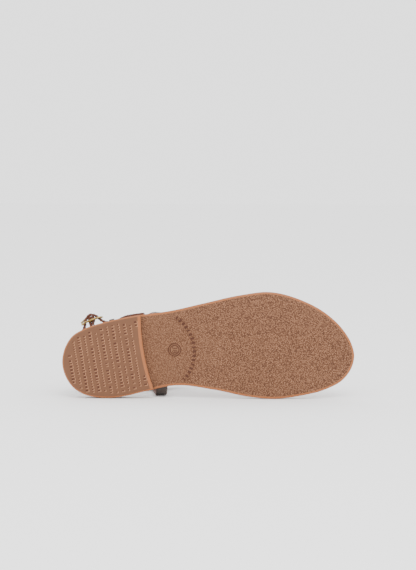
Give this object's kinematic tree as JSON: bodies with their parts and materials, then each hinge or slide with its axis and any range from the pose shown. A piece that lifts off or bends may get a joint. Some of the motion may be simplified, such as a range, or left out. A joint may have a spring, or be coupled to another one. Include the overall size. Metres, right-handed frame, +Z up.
{
  "type": "ankle strap sandal",
  "caption": "Flat leather sandal with a toe post, T-shaped instep strap, looped side tabs and a buckled ankle strap, lying on its side.",
  "frame": {"origin": "middle of the footprint of the shoe lying on its medial side, on the floor", "axes": "+X from heel to toe, +Y away from the sole towards the ankle strap, +Z up from the floor to the shoe's lateral side"},
  "size_m": [0.25, 0.0936, 0.0913],
  "materials": {
    "sole": "tan sole with a fine pebbled grain",
    "footbed": "smooth tan leather with a soft sheen",
    "strap_leather": "dark brown leather with reddish brown cut edges",
    "brass": "aged satin brass"
  },
  "bodies": {
    "root": {"outsole": "sole", "heel": "sole", "insole": "footbed", "t_strap": "strap_leather", "medial_tab": "strap_leather", "lateral_tab": "strap_leather", "ankle_strap": "strap_leather", "strap_keeper": "strap_leather", "buckle_frame": "brass", "buckle_prong": "brass"}
  },
  "joints": []
}
